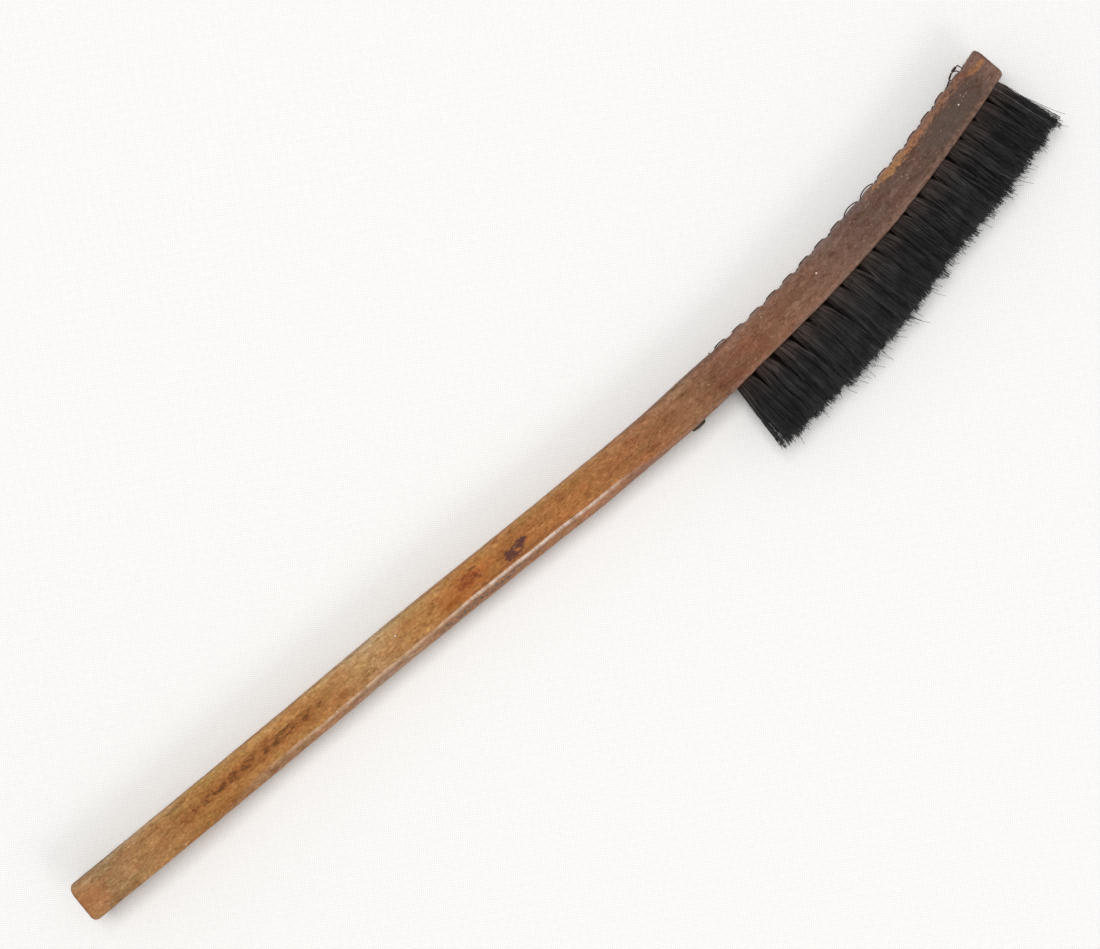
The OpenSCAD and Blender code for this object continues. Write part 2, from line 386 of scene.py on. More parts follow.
def lathe(profile, sides, wobble=0.0, seed=0):
    """A closed turned shape about +z, as points and faces, from (radius, height) pairs."""
    verts = [(0, 0, profile[0][1])]
    for radius, height in profile:
        for j in range(sides):
            a = 2 * math.pi * j / sides
            r = radius * (1 + wobble * math.sin(3 * a + seed) + wobble * math.sin(2 * a + 2 * seed))
            verts.append((r * math.cos(a), r * math.sin(a), height))
    verts.append((0, 0, profile[-1][1]))
    faces = []
    for k in range(len(profile) - 1):
        for j in range(sides):
            a, b = 1 + k * sides + j, 1 + k * sides + (j + 1) % sides
            faces.append((a, b, b + sides, a + sides))
    last = 1 + (len(profile) - 1) * sides
    for j in range(sides):
        faces.append((0, 1 + (j + 1) % sides, 1 + j))
        faces.append((last + sides, last + j, last + (j + 1) % sides))
    return np.array(verts), faces


def tilt(i):
    """How far the bores lean towards the tip: most in the first half of the head, least at its end."""
    return 0.08 + 0.18 * smooth(16 - i, 0, 10) * (0.2 + 0.8 * smooth(i, 0, 3))


def radial(local, s, z, lean=0.0):
    """Turns a lathed shape's +z out of the bristle side; lean tips it towards the end of the head."""
    local = local.copy()
    local[:, 1] += lean * np.maximum(local[:, 2] - BORE_BOTTOM, 0)
    turn = s / BEND_RADIUS
    out = np.array([math.sin(turn), -math.cos(turn), 0])
    along = np.array([math.cos(turn), math.sin(turn), 0])
    down = np.array([0, 0, -1.0])
    origin = np.array([0, BEND_RADIUS, z])
    return origin + local[:, :1] * down + local[:, 1:2] * along + local[:, 2:] * out


def bore_cutter(row, i):
    """One tuft's bore, the wire's hole behind it and the worn countersink at the back."""
    back = BEND_RADIUS + back_w(tuft_s(row, i))
    profile = [
        (COUNTERSINK_RADIUS, back - 2 * MM), (COUNTERSINK_RADIUS, back + 0.35 * MM),
        (1.1 * MM, back + 0.75 * MM), (WIRE_HOLE_RADIUS, back + 1.2 * MM),
        (WIRE_HOLE_RADIUS, BORE_BOTTOM), (BORE_RADIUS, BORE_BOTTOM),
        (BORE_RADIUS, FACE_RHO - 0.5 * MM), (BORE_RADIUS + 0.25 * MM, FACE_RHO + 2 * MM)
    ]
    verts, faces = lathe(profile, 36, wobble=0.012, seed=i)
    return radial(verts, tuft_s(row, i), ROW_Z[row], tilt(i)), faces


def pin_s():
    return (FIRST_TUFT - PIN_OFFSET) * BEND_RADIUS / FACE_RHO


def pin_cutter():
    ends = (FACE_RHO - PIN_HOLE_DEPTH, FACE_RHO + 2 * MM)
    profile = [(PIN_HOLE_RADIUS, height) for height in ends]
    verts, faces = lathe(profile, 24)
    return radial(verts, pin_s(), MIDDLE_Z), faces


def join_shapes(shapes):
    """One list of points and one of faces from several separate shapes."""
    verts, faces, start = [], [], 0
    for points, polygons in shapes:
        verts.append(points)
        faces += [tuple(start + k for k in face) for face in polygons]
        start += len(points)
    return np.concatenate(verts), faces


SLIVER = 0.004 * MM


def cut_bores(stock):
    """Takes the bores, wire holes and pin hole out of the stock's mesh, then the slivers that are left."""
    shapes = [bore_cutter(row, i) for row, i in all_tufts()] + [pin_cutter()]
    verts, faces = join_shapes(shapes)
    cutter = new_object("bore_cutter", verts, faces, stock.data.materials[0])
    modifier = stock.modifiers.new("bores", "BOOLEAN")
    modifier.object = cutter
    modifier.operation = "DIFFERENCE"
    modifier.solver = "MANIFOLD"
    graph = bpy.context.evaluated_depsgraph_get()
    mesh = bpy.data.meshes.new_from_object(stock.evaluated_get(graph))
    shape = bmesh.new()
    shape.from_mesh(mesh)
    bmesh.ops.dissolve_degenerate(shape, dist=SLIVER, edges=shape.edges)
    shape.to_mesh(mesh)
    shape.free()
    stock.modifiers.clear()
    stock.data = mesh
    bpy.data.objects.remove(cutter)


def build_stock(material):
    points, edge, facet, rings, sides = stock_shell()
    faces = ring_quads(rings, sides)[:, ::-1].tolist()
    verts = [Vector(p) for p in points]
    first = list(range(sides))
    last = list(range((rings - 1) * sides, rings * sides))
    tail_centre = sum((verts[k] for k in first), Vector()) / sides
    tip_centre = sum((verts[k] for k in last), Vector()) / sides
    cap(verts, faces, first, tail_centre, flip=False)
    cap(verts, faces, last, tip_centre, flip=True)
    stock = new_object("wood_stock", [tuple(v) for v in verts], faces, material)
    at_caps = np.zeros(len(verts) - len(edge))
    set_attribute(stock, "edge", np.concatenate([edge, at_caps]))
    set_attribute(stock, "facet", np.concatenate([facet, at_caps]))
    cut_bores(stock)
    grain = unplace(get_coordinates(stock))
    set_attribute(stock, "grain", grain / MM)
    set_attribute(stock, "crease", (grain[:, 1] - crease_w(grain[:, 0])) / MM)
    shade_smooth(stock, sharp_angle=38)
    adopt(stock, "wood_stock", "stock")


# ---- tufts ----

HAIR_STEPS = np.array([-0.36, -0.04, 0.05, 0.13, 0.23, 0.34, 0.46, 0.59, 0.72, 0.84, 0.93, 1.0])
HAIR_SIDES = 3
LEAN_FADE = 5 * MM
FRINGE_HAIRS = 28
# How many hairs stand far out of each of these upper tufts, counted from 0; elsewhere it is 2.
STRAY_HAIRS = {3: 6, 4: 6, 5: 3, 6: 6, 8: 3, 11: 5, 12: 5, 13: 9, 14: 5, 16: 1}
PAINTED_ROW_SHADE = {UPPER: 1.0, LOWER: 0.45}  # the lower row is painted darker, as painted shade where it shows between the upper tufts
GOLDEN_ANGLE = math.pi * (3 - math.sqrt(5))


def disc_points(rng, count, radius):
    """Points spread evenly over a disc, with a little scatter."""
    k = np.arange(count) + 0.5
    angle = k * GOLDEN_ANGLE + rng.uniform(0, 2 * math.pi)
    r = radius * np.sqrt(k / count)
    return np.stack([r * np.cos(angle), r * np.sin(angle)], axis=-1)


def splay(row, i, root):
    """How the outer hairs of the two end tufts lean and reach, with nothing beside them."""
    side = root[:, 0] / ROOT_RADIUS
    if i == 0:
        outer = smooth(-side, -0.6, 0.5)
        return -1.0 * MM * outer, 0.5 * MM * outer
    if i == ROW_COUNT[row] - 1:
        outer = smooth(side, -0.5, 0.6)
        return -0.9 * MM * outer, 0.8 * MM * outer
    return 0.0, 0.0


def trim_length(row, i):
    """Length that a tuft is cut to: longest in the first half of the head, worn short past its middle."""
    s = tuft_s(row, i)
    extra = 0.8 * smooth(s, 86 * MM, 62 * MM) + 0.2 * bump(s, 62 * MM, 8 * MM) - 0.6
    worn = 0.5 * smooth(s, 50 * MM, 42 * MM) + 0.75 * bump(s, 96 * MM, 12 * MM)
    return BRISTLE_LENGTH + MM * (extra - worn)


def hair_tips(rng, row, i, root, locks, member):
    """Where each hair ends: across the tuft, through the thickness, and its length."""
    drift = rng.normal(0, 0.5 * MM, locks.shape)
    gather = rng.uniform(0.1, 0.6, len(locks))[member][:, None]
    tip = root * SPREAD
    tip += (locks[member] * SPREAD - tip) * gather + drift[member]
    tip += rng.normal(0, 0.3 * MM, tip.shape)
    tip[:, 1] *= 0.8
    crossing = rng.random(len(root)) < 0.09
    tip[crossing, 0] += rng.normal(0, 1.1 * MM, crossing.sum())
    lean, reach = splay(row, i, root)
    tip[:, 0] += lean
    length = trim_length(row, i) + reach + rng.normal(0, 0.72 * MM, len(locks))[member]
    length += rng.normal(0, 0.26 * MM, len(root))
    short = rng.random(len(root)) < 0.2
    length -= short * rng.exponential(1.4 * MM, len(root))
    return tip, length


def stray_hairs(rng, row, i, tip, length):
    """Some hairs stand out beyond the trimmed end, a few of them far. Returns how far each curls."""
    curl = rng.normal(0.1 * MM, 0.3 * MM, len(tip))
    fringe = rng.choice(len(tip), FRINGE_HAIRS, replace=False)
    length[fringe] += rng.exponential(0.65 * MM, FRINGE_HAIRS)
    tip[fringe, 0] += rng.normal(0.2 * MM, 0.8 * MM, FRINGE_HAIRS)
    curl[fringe] += rng.normal(0.3 * MM, 0.7 * MM, FRINGE_HAIRS)
    count = STRAY_HAIRS.get(i, 2) if row == UPPER else 1
    chosen = rng.choice(len(tip), count, replace=False)
    length[chosen] += rng.uniform(1.2 * MM, 3.8 * MM, count)
    tip[chosen, 0] += rng.normal(0.8 * MM, 1.2 * MM, count)
    tip[chosen, 1] += rng.normal(0, 0.8 * MM, count)
    curl[chosen] += rng.normal(1.5 * MM, 1.2 * MM, count)
    return curl


def wave(rng, count, size):
    """A slow swing to and fro along each hair, growing from nothing at its root."""
    t = np.maximum(HAIR_STEPS, 0)[None, :, None]
    phase = rng.uniform(0, 2 * math.pi, (count, 1, 2))
    turns = rng.uniform(4.5, 9.5, (count, 1, 1))
    return rng.normal(0, size, (count, 1, 2)) * (np.sin(t * turns + phase) - np.sin(phase)) * t**0.5


def hair_paths(rng, row, i):
    """The course of every hair of a tuft, as u, z and length, at each of its steps, and its lock."""
    root = disc_points(rng, HAIRS_PER_TUFT, ROOT_RADIUS)
    root += rng.normal(0, 0.05 * MM, root.shape)
    locks = disc_points(rng, LOCKS_PER_TUFT, ROOT_RADIUS)
    member = np.argmin(np.linalg.norm(root[:, None] - locks[None], axis=-1), axis=1)
    tip, length = hair_tips(rng, row, i, root, locks, member)
    curl = stray_hairs(rng, row, i, tip, length)
    t = np.maximum(HAIR_STEPS, 0)[None, :, None]
    flare = 0.7 * t**0.45 + 0.3 * t**1.5
    across = root[:, None] + (tip - root)[:, None] * flare
    across += wave(rng, LOCKS_PER_TUFT, 0.22 * MM)[member] + wave(rng, HAIRS_PER_TUFT, 0.19 * MM)
    across[..., 0] += curl[:, None] * np.maximum(HAIR_STEPS, 0) ** 5
    out = np.where(HAIR_STEPS < 0, HAIR_STEPS * BRISTLE_LENGTH, HAIR_STEPS * length[:, None])
    straightened = LEAN_FADE * (1 - np.exp(-np.maximum(out, 0) / LEAN_FADE))
    across[..., 0] += tilt(i) * (BORE_DEPTH + np.minimum(out, 0) + straightened)
    return across, out, member


def directions(lines):
    """The unit direction at each point of one line, or of many."""
    along = np.gradient(lines, axis=-2)
    return along / np.linalg.norm(along, axis=-1, keepdims=True)


def rings_round(lines, along, side, radius, sides):
    """A ring of points square to the line at each of its points."""
    up = np.cross(along, side)
    angle = 2 * math.pi * np.arange(sides)[:, None] / sides
    ring = np.cos(angle) * side[..., None, :] + np.sin(angle) * up[..., None, :]
    return (lines[..., None, :] + radius * ring).reshape(-1, 3)


def hair_mesh(paths, radius):
    """Thin tapered strands round the paths, each closed at both ends."""
    count, steps, _ = paths.shape
    along = directions(paths)
    side = np.cross(along, [0.0, 0.0, 1.0])
    side /= np.linalg.norm(side, axis=-1, keepdims=True)
    verts = rings_round(paths, along, side, radius[..., None, None], HAIR_SIDES)
    per_hair = steps * HAIR_SIDES
    start = np.arange(count)[:, None, None] * per_hair
    quads = (start + ring_quads(steps, HAIR_SIDES)[None]).reshape(-1, 4)
    root_cap = (start[:, 0] + np.arange(HAIR_SIDES)[::-1]).reshape(-1, HAIR_SIDES)
    tip_cap = (start[:, 0] + per_hair - HAIR_SIDES + np.arange(HAIR_SIDES)).reshape(-1, HAIR_SIDES)
    faces = quads.tolist() + root_cap.tolist() + tip_cap.tolist()
    return verts, faces


def build_tuft(row, i, material):
    rng = np.random.default_rng(100 + 40 * (row == LOWER) + i)
    across, out, member = hair_paths(rng, row, i)
    s0 = tuft_s(row, i) / BEND_RADIUS
    outward = np.array([math.sin(s0), -math.cos(s0), 0])
    beside = np.array([math.cos(s0), math.sin(s0), 0])
    centre = np.array([0, BEND_RADIUS, ROW_Z[row]])
    paths = centre + (FACE_RHO + out)[..., None] * outward + across[..., :1] * beside
    paths[..., 2] += across[..., 1]
    thick = HAIR_RADIUS * rng.uniform(0.75, 1.2, (HAIRS_PER_TUFT, 1))
    radius = thick * (1 - 0.3 * np.maximum(HAIR_STEPS, 0) ** 2)
    lowest = radius.max() + 0.1 * MM
    paths[..., 2] = np.maximum(paths[..., 2], lowest + 0.08 * (paths[..., 2] - lowest).clip(max=0))
    verts, faces = hair_mesh(paths, radius)
    number = f"{i + 1:02d}"
    tuft = new_object(f"hair_{row}_{number}", verts, faces, material)
    tone = 0.3 * rng.random(LOCKS_PER_TUFT)[member] + 0.7 * rng.random(HAIRS_PER_TUFT)
    # Painted shade: the lower row's hairs are made darker.
    tone *= PAINTED_ROW_SHADE[row]
    tone = np.repeat(tone, len(HAIR_STEPS) * HAIR_SIDES)
    along = np.tile(np.repeat(HAIR_STEPS, HAIR_SIDES), HAIRS_PER_TUFT)
    set_attribute(tuft, "tone", tone)
    set_attribute(tuft, "along", along)
    shade_smooth(tuft)
    adopt(tuft, "black_hair", f"tuft_{row}_{number}")


# ---- wires ----


def through_points(points, spacing):
    """A smooth, evenly stepped line through the points."""
    points = np.asarray(points)
    padded = np.concatenate([[2 * points[0] - points[1]], points, [2 * points[-1] - points[-2]]])
    line = []
    for a, b, c, d in zip(padded, padded[1:], padded[2:], padded[3:]):
        steps = max(2, round(float(np.linalg.norm(c - b)) / spacing))
        for t in np.arange(steps) / steps:
            pull = (c - a) / 2, (d - b) / 2
            line.append(
                (2 * t**3 - 3 * t**2 + 1) * b + (t**3 - 2 * t**2 + t) * pull[0]
                + (3 * t**2 - 2 * t**3) * c + (t**3 - t**2) * pull[1]
            )
    line.append(points[-1])
    return np.array(line)


def tube(line, radius, sides=8):
    """A round closed tube along a line."""
    count = len(line)
    along = directions(line)
    side = np.empty_like(line)
    reference = np.array([0.0, 0.0, 1.0])
    for k in range(count):
        reference = reference - along[k] * (reference @ along[k])
        reference /= np.linalg.norm(reference)
        side[k] = reference
    verts = rings_round(line, along, side, radius, sides)
    faces = ring_quads(count, sides).tolist()
    faces.append(list(range(sides))[::-1])
    faces.append(list(range((count - 1) * sides, count * sides)))
    return verts, faces


# How far these stitches of the upper wire stand off the back, in millimetres.
LOOSE_STITCHES = {0: 0.22, 1: 0.1, 8: 0.42, 9: 0.46, 15: 1.0}
TWIST_S = 135.2 * MM
TWIST_STEP = 0.125 * MM
TWIST_LIFT = 0.95 * MM


def stitch(rng, row, i):
    """Points of the wire from one hole to the next, pressed into the wood beside each unless it's loose."""
    start = tuft_s(row, i) + LEG_GAP
    stop = tuft_s(row, i + 1) - LEG_GAP
    slack = rng.uniform(0.0, 0.1)
    high = LOOSE_STITCHES.get(i, slack) if row == UPPER else 0.3 * slack
    skew = 2.9 if high > 0.9 else rng.uniform(0.85, 1.2)
    sinking = 0.55 * MM * smooth(high, 0.4, 0.2)
    drift = rng.normal(0, 0.22 * MM)
    points = []
    for t in (0.02, 0.1, 0.19, 0.3, 0.42, 0.58, 0.7, 0.81, 0.9, 0.98):
        s = start + (stop - start) * t
        lift = 0.08 * MM + high * MM * math.sin(math.pi * t**skew) ** 0.7
        sunk = sinking * smooth(abs(t - 0.5), 0.29, 0.48)
        z = ROW_Z[row] + drift * math.sin(math.pi * t)
        points.append(place(s, back_surface(s, z) - lift + sunk, z))
    return points


def hairpin(row, i):
    """The wire's way down through the wood, a turn among the ends of the hairs, and back out."""
    s = tuft_s(row, i)
    deep = BORE_BOTTOM + FOLD_LIFT - BEND_RADIUS
    z = ROW_Z[row]
    back = back_surface(s, z) + 0.35 * MM
    turn = [
        place(s + LEG_GAP * math.cos(a), deep + LEG_GAP * math.sin(a), z)
        for a in np.linspace(math.pi, 0, 6)
    ]
    return [place(s - LEG_GAP, back, z), *turn, place(s + LEG_GAP, back, z)]


def wire_end(row):
    """Each wire swings over to the middle of the back, where the two are twisted together."""
    s = tuft_s(row, ROW_COUNT[row] - 1) + LEG_GAP
    hand = 1 if row == UPPER else -1
    back = back_w(s)
    near = TWIST_S + 0.6 * MM if row == UPPER else TWIST_S - 15 * TWIST_STEP
    points = [
        place(s, back - 0.25 * MM, ROW_Z[row]),
        place((s + near) / 2, back - 0.7 * TWIST_LIFT, MIDDLE_Z + hand * 1.4 * MM),
        place(near, back - 0.9 * TWIST_LIFT, MIDDLE_Z + hand * 0.6 * MM)
    ]
    for k in range(13) if row == UPPER else range(12, -1, -1):
        a = math.pi / 2 * hand + k * 1.15
        s = TWIST_S - k * TWIST_STEP
        w = back_w(s) - TWIST_LIFT + 0.24 * MM * math.cos(a)
        points.append(place(s, w, MIDDLE_Z + 0.24 * MM * math.sin(a)))
    return points


def build_wire(row, material):
    rng = np.random.default_rng(7 if row == UPPER else 8)
    start = tuft_s(row, 0) - LEG_GAP
    points = [place(start - 0.3 * MM, back_surface(start, ROW_Z[row]) - 0.3 * MM, ROW_Z[row])]
    for i in range(ROW_COUNT[row]):
        points += hairpin(row, i)
        if i < ROW_COUNT[row] - 1:
            points += stitch(rng, row, i)
    points += wire_end(row)
    line = through_points(points, 0.22 * MM)
    line = line + 0.03 * MM * np.stack([lumps(line, 1.9 * MM, k) for k in (4, 5, 6)], axis=-1)
    verts, faces = tube(line, WIRE_RADIUS)
    wire = new_object(f"wire_{row}", verts, faces, material)
    shade_smooth(wire)
    adopt(wire, "drawing_wire", f"drawing_wire_{row}")


# ---- pin ----


def build_pin(material):
    """A hammered, slightly oblong head on a short shank, driven in until the head sinks a little."""
    face = FACE_RHO - 0.05 * MM
    shank = [(0.1, -6.9), (0.45, -6.4), (0.58, -5.6), (0.6, -0.5), (0.62, 0.0)]
    head = [(1.2, -0.2), (1.38, 0.0), (1.42, 0.3), (1.3, 0.62), (1.0, 0.86), (0.55, 0.98), (0.15, 1.0)]
    profile = [(r * MM, face + h * MM) for r, h in shank + head]
    verts, faces = lathe(profile, 28, wobble=0.03, seed=2)
    in_head = smooth(np.hypot(verts[:, 0], verts[:, 1]), 0.62 * MM, 1.0 * MM)
    verts[:, 1] *= 1 + 0.55 * in_head
    verts[:, 2] += in_head * 0.12 * MM * lumps(verts, 0.8 * MM, 7)
    verts = radial(verts, pin_s(), MIDDLE_Z)
    pin = new_object("pin", verts, faces, material)
    shade_smooth(pin, sharp_angle=50)
    adopt(pin, "pin_iron", "anchor_pin")


# ---- materials ----


def colour(code):
    """A linear colour from the usual six hexadecimal digits."""
    parts = [int(code[k:k + 2], 16) / 255 for k in (0, 2, 4)]
    return [p / 12.92 if p <= 0.04045 else ((p + 0.055) / 1.055) ** 2.4 for p in parts] + [1.0]


class Shader:
    """Builds one material out of nodes; a method for a pattern or a sum gives back its output."""

    def __init__(self, name):
        self.material = bpy.data.materials.new(name)
        self.material.use_nodes = True
        self.tree = self.material.node_tree
        self.surface = next(n for n in self.tree.nodes if n.type == "BSDF_PRINCIPLED")

    def put(self, socket, value):
        if isinstance(value, bpy.types.NodeSocket):
            self.tree.links.new(value, socket)
        else:
            socket.default_value = value

    def node(self, kind, inputs, **settings):
        node = self.tree.nodes.new("ShaderNode" + kind)
        for name, value in settings.items():
            setattr(node, name, value)
        for key, value in inputs.items():
            self.put(node.inputs[key], value)
        return node

    def attribute(self, name, output="Vector"):
        node = self.node("Attribute", {}, attribute_name=name)
        return node.outputs[output]

    def object_place(self):
        return self.node("TexCoord", {}).outputs["Object"]

    def stretched(self, vector, scale):
        node = self.node("VectorMath", {0: vector, 1: scale}, operation="MULTIPLY")
        return node.outputs[0]

    def moved(self, vector, shift):
        return self.node("VectorMath", {0: vector, 1: shift}, operation="ADD").outputs[0]

    def noise(self, vector, scale=1.0, detail=2.0, roughness=0.5, distortion=0.0):
        inputs = {
            "Vector": vector, "Scale": scale, "Detail": detail, "Roughness": roughness,
            "Distortion": distortion
        }
        return self.node("TexNoise", inputs).outputs[0]

    def streaks(self, vector, along, across, **settings):
        """Noise with one scale along x and another across it."""
        return self.noise(self.stretched(vector, (along, across, across)), **settings)

    def noise_colour(self, vector, scale):
        """Noise in three directions at once, for bending other patterns."""
        return self.node("TexNoise", {"Vector": vector, "Scale": scale}).outputs["Color"]

    def cells(self, vector, scale):
        inputs = {"Vector": vector, "Scale": scale}
        return self.node("TexVoronoi", inputs).outputs["Distance"]

    def math(self, operation, a, b=0.0):
        return self.node("Math", {0: a, 1: b}, operation=operation).outputs[0]

    def plus(self, a, b):
        return self.math("ADD", a, b)

    def minus(self, a, b):
        return self.math("SUBTRACT", a, b)

    def times(self, product, *others):
        for other in others:
            product = self.math("MULTIPLY", product, other)
        return product

    def fade(self, value, low, high, start=0.0, stop=1.0):
        """start where value is low, stop where it is high, with a soft change between."""
        inputs = {"Value": value, "From Min": low, "From Max": high, "To Min": start, "To Max": stop}
        node = self.node("MapRange", inputs, interpolation_type="SMOOTHSTEP")
        return node.outputs[0]

    def mix(self, share, a, b, blend="MIX"):
        node = self.tree.nodes.new("ShaderNodeMix")
        node.data_type = "RGBA"
        node.blend_type = blend
        self.put(node.inputs[0], share)
        self.put(node.inputs[6], a)
        self.put(node.inputs[7], b)
        return node.outputs[2]

    def ramp(self, value, stops):
        node = self.node("ValToRGB", {0: value})
        elements = node.color_ramp.elements
        while len(elements) < len(stops):
            elements.new(0.5)
        for element, (position, code) in zip(elements, stops):
            element.position = position
            element.color = colour(code)
        return node.outputs[0]

    def split(self, vector):
        return self.node("SeparateXYZ", {0: vector}).outputs

    def bump(self, height, distance, strength):
        inputs = {"Height": height, "Distance": distance, "Strength": strength}
        return self.node("Bump", inputs).outputs[0]

    def finish(self, **inputs):
        for name, value in inputs.items():
            self.put(self.surface.inputs[name.replace("_", " ")], value)
        return self.material


# Colours along the stock, from its tail to its tip, with their places in millimetres.
WOOD_FROM, WOOD_SPAN = -186.0, 326.0
WOOD_STOPS = (
    (-186, "9c7149"), (-174, "95704a"), (-160, "a07245"), (-146, "996835"), (-103, "a26f3d"),
    (-85, "a57d52"), (-74, "a27342"), (-56, "9f6835"), (-12, "9a6336"), (6, "8e5d3a"),
    (22, "855c3f"), (32, "734b37"), (46, "7c533e"), (68, "725343"), (86, "61483e"),
    (108, "5d453c"), (132, "533f38"), (140, "74574a")
)


class WoodShader(Shader):
    """Keeps the wood's tone so far, and lays tints and stains over it one after another."""

    def __init__(self, name):
        super().__init__(name)
        self.grain = self.attribute("grain")
        self.slanted = self.node(
            "VectorRotate", {"Vector": self.grain, "Angle": math.radians(1.5)}, rotation_type="Z_AXIS"
        ).outputs[0]
        self.spot = self.split(self.grain)
        share = self.math("DIVIDE", self.minus(self.spot[0], WOOD_FROM), WOOD_SPAN)
        self.tone = self.ramp(share, [((at - WOOD_FROM) / WOOD_SPAN, code) for at, code in WOOD_STOPS])
        ragged = self.streaks(self.slanted, 0.5, 1.1, detail=4, roughness=0.65)
        self.ragged = self.times(self.minus(ragged, 0.5), 2.6)

    def along(self, low, high, start=0.0, stop=1.0):
        """A soft change between two places along the stock, in mm."""
        return self.fade(self.spot[0], low, high, start, stop)

    def across(self, low, high):
        """A soft change between two offsets towards the bristles, in mm."""
        return self.fade(self.spot[1], low, high)

    def tint(self, mask, *factors):
        """Multiplies red, green and blue by the factors where the mask is."""
        self.tone = self.mix(mask, self.tone, (*factors, 1), "MULTIPLY")

    def lay(self, mask, amount, code):
        """Lays a colour over the tone where the mask is."""
        self.tone = self.mix(self.times(mask, amount), self.tone, colour(code))

    def stain(self, centre, half_size, slant=0.0, ragged=None):
        """A ragged-edged spot: 1 inside, 0 outside. centre and half_size are along and across, in mm."""
        along = self.minus(self.spot[0], centre[0])
        across = self.minus(self.minus(self.spot[1], centre[1]), self.times(along, slant))
        along = self.math("DIVIDE", along, half_size[0])
        across = self.math("DIVIDE", across, half_size[1])
        square = self.plus(self.math("POWER", along, 2.0), self.math("POWER", across, 2.0))
        distance = self.plus(self.math("SQRT", square), self.ragged if ragged is None else ragged)
        return self.fade(distance, 1.15, 0.65)

    def mark(self, amount, code, *size, where=1.0, ragged=None):
        """Lays one stain over the tone. size is its centre, its half size and perhaps its slant."""
        self.lay(self.times(self.stain(*size, ragged=ragged), where), amount, code)


def wood_body(wood):
    """Honey brown grip and dark red-brown head, cloudy, with streaks along the grain."""
    grain, slanted = wood.grain, wood.slanted
    broad = wood.streaks(slanted, 0.06, 0.34, detail=3, distortion=0.4)
    hue = wood.streaks(grain, 0.13, 0.38, detail=4, roughness=0.6)
    cloudy = wood.streaks(grain, 0.25, 0.55, detail=5, roughness=0.65)
    fibre = wood.streaks(slanted, 0.42, 2.2, detail=4, roughness=0.65)
    mottle = wood.streaks(grain, 0.9, 1.4, detail=5, roughness=0.75)
    fleck = wood.streaks(slanted, 1.5, 3.2, detail=3, roughness=0.7)
    # Paler and greyer towards the back: partly the wood's own tone, partly a painted sheen on the rounded
    # back edge.
    wood.tint(wood.across(-1.5, -5.6), 1.1, 1.27, 1.5)
    # A painted sheen on the grip's rounded back edge, fading out towards the tail and towards the head.
    back_edge_sheen = wood.times(wood.across(-4.3, -5.5), wood.along(8, -20), wood.along(-184, -158))
    wood.tint(back_edge_sheen, 1.14, 1.22, 1.36)
    tints = (
        (hue, 0.48, 0.34, 0.95, 1.02, 0.94), (hue, 0.5, 0.66, 1.04, 0.95, 0.9),
        (broad, 0.45, 0.65, 1.1, 1.12, 1.12), (broad, 0.5, 0.3, 0.88, 0.83, 0.76),
        (cloudy, 0.52, 0.68, 0.73, 0.64, 0.55), (cloudy, 0.48, 0.32, 1.21, 1.29, 1.39),
        (fibre, 0.5, 0.28, 0.8, 0.73, 0.64), (fibre, 0.5, 0.72, 1.13, 1.17, 1.23),
        (mottle, 0.5, 0.7, 1.4, 1.48, 1.58), (mottle, 0.5, 0.3, 0.7, 0.63, 0.57),
        (fleck, 0.5, 0.7, 1.16, 1.2, 1.26), (fleck, 0.5, 0.3, 0.85, 0.8, 0.74)
    )
    for pattern, low, high, *factors in tints:
        wood.tint(wood.fade(pattern, low, high), *factors)
    return cloudy, fibre, mottle


def grip_stains(wood):
    """Ink and damp marks along the grip."""
    dabs = wood.streaks(wood.grain, 0.4, 0.8, detail=5, roughness=0.7)
    # a damp patch, with a smear, a scrawl, a dash, a hook and a streak
    wood.mark(0.35, "a4561f", (-55.0, -0.9), (11.0, 3.4), -0.1)
    smear = wood.stain((-53.8, -1.6), (4.2, 1.7), -0.05)
    wood.lay(smear, 0.5, "93481f")
    ring = wood.math("ABSOLUTE", wood.minus(dabs, 0.5))
    wood.lay(wood.times(smear, wood.fade(ring, 0.07, 0.02)), 0.7, "6a2f18")
    finer = wood.times(wood.ragged, 0.5)
    wood.mark(0.75, "5f4018", (-51.0, -3.4), (1.5, 0.35), 0.15, ragged=finer)
    wood.mark(0.7, "70351a", (-50.8, -0.9), (1.0, 1.0), 0.4)
    wood.mark(0.6, "8d480c", (-60.0, 0.5), (4.4, 0.6), -0.06)
    # a row of dark dabs in a brown halo
    wood.mark(0.5, "8c4c20", (-126.0, -0.8), (25.0, 1.9), -0.02)
    row_of_dabs = wood.fade(dabs, 0.43, 0.62)
    wood.mark(0.85, "56300f", (-125.0, -0.9), (24.0, 1.4), -0.02, where=row_of_dabs)
    # a torn blot with two lobes
    torn = wood.plus(wood.ragged, wood.fade(dabs, 0.6, 0.35, -0.2, 0.4))
    blot = wood.stain((-40.2, 0.6), (2.7, 1.5), ragged=torn)
    blot = wood.math("MAXIMUM", blot, wood.stain((-36.8, -0.5), (2.3, 1.2), -0.35, torn))
    wood.lay(blot, 0.85, "482a2b")
    # a dark line beside the crease, a nick in the back and a warmer tail
    wood.mark(0.5, "6a3a20", (-42.0, 2.0), (15.0, 0.45))
    wood.mark(0.6, "5f4526", (-151.8, -4.1), (3.0, 0.4))
    wood.mark(0.3, "ab6638", (-183.0, 0.5), (5.0, 4.0))


